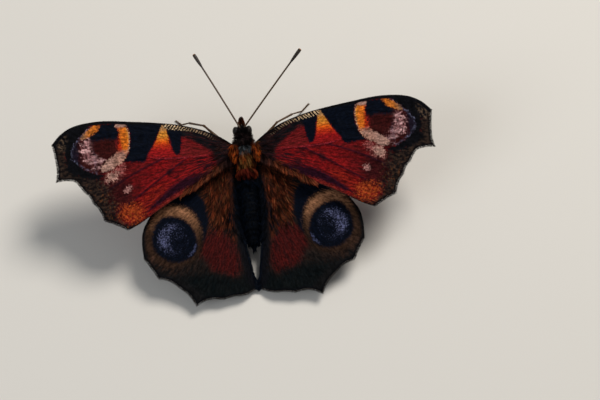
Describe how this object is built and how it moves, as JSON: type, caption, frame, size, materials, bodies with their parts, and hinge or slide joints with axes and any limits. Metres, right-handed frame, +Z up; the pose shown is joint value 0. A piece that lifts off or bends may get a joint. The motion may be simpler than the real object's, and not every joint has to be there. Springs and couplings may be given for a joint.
{
  "type": "peacock butterfly",
  "caption": "Life-size peacock butterfly standing still on its walking legs, with all four scalloped wings held open.",
  "frame": {"origin": "on the floor, under the middle of the whole insect's box", "axes": "+X to the butterfly's right, along its wingspan; +Y towards its head; +Z up"},
  "size_m": [0.0644, 0.042, 0.0161],
  "materials": {
    "body": "dark chitin under golden-brown to black hair",
    "eye": "glossy dark brown compound eye",
    "antenna": "dark brown ringed shaft, black club with a pale tip",
    "leg": "brown scaled chitin",
    "forewing": "matt scales, wine red with black, yellow and lilac marks",
    "hindwing": "matt scales, dark red and brown with a blue-black eyespot"
  },
  "bodies": {
    "root": {"head": "body", "thorax": "body", "abdomen": "body", "proboscis": "leg", "eye_right": "eye", "eye_left": "eye", "tegula_right": "body", "tegula_left": "body", "antenna_right": "antenna", "antenna_left": "antenna", "palp_right": "body", "palp_left": "body", "foreleg_right": "body", "foreleg_left": "body", "middle_leg_right": "leg", "middle_leg_left": "leg", "hind_leg_right": "leg", "hind_leg_left": "leg", "forewing_right": "forewing", "forewing_left": "forewing", "hindwing_right": "hindwing", "hindwing_left": "hindwing"}
  },
  "joints": []
}
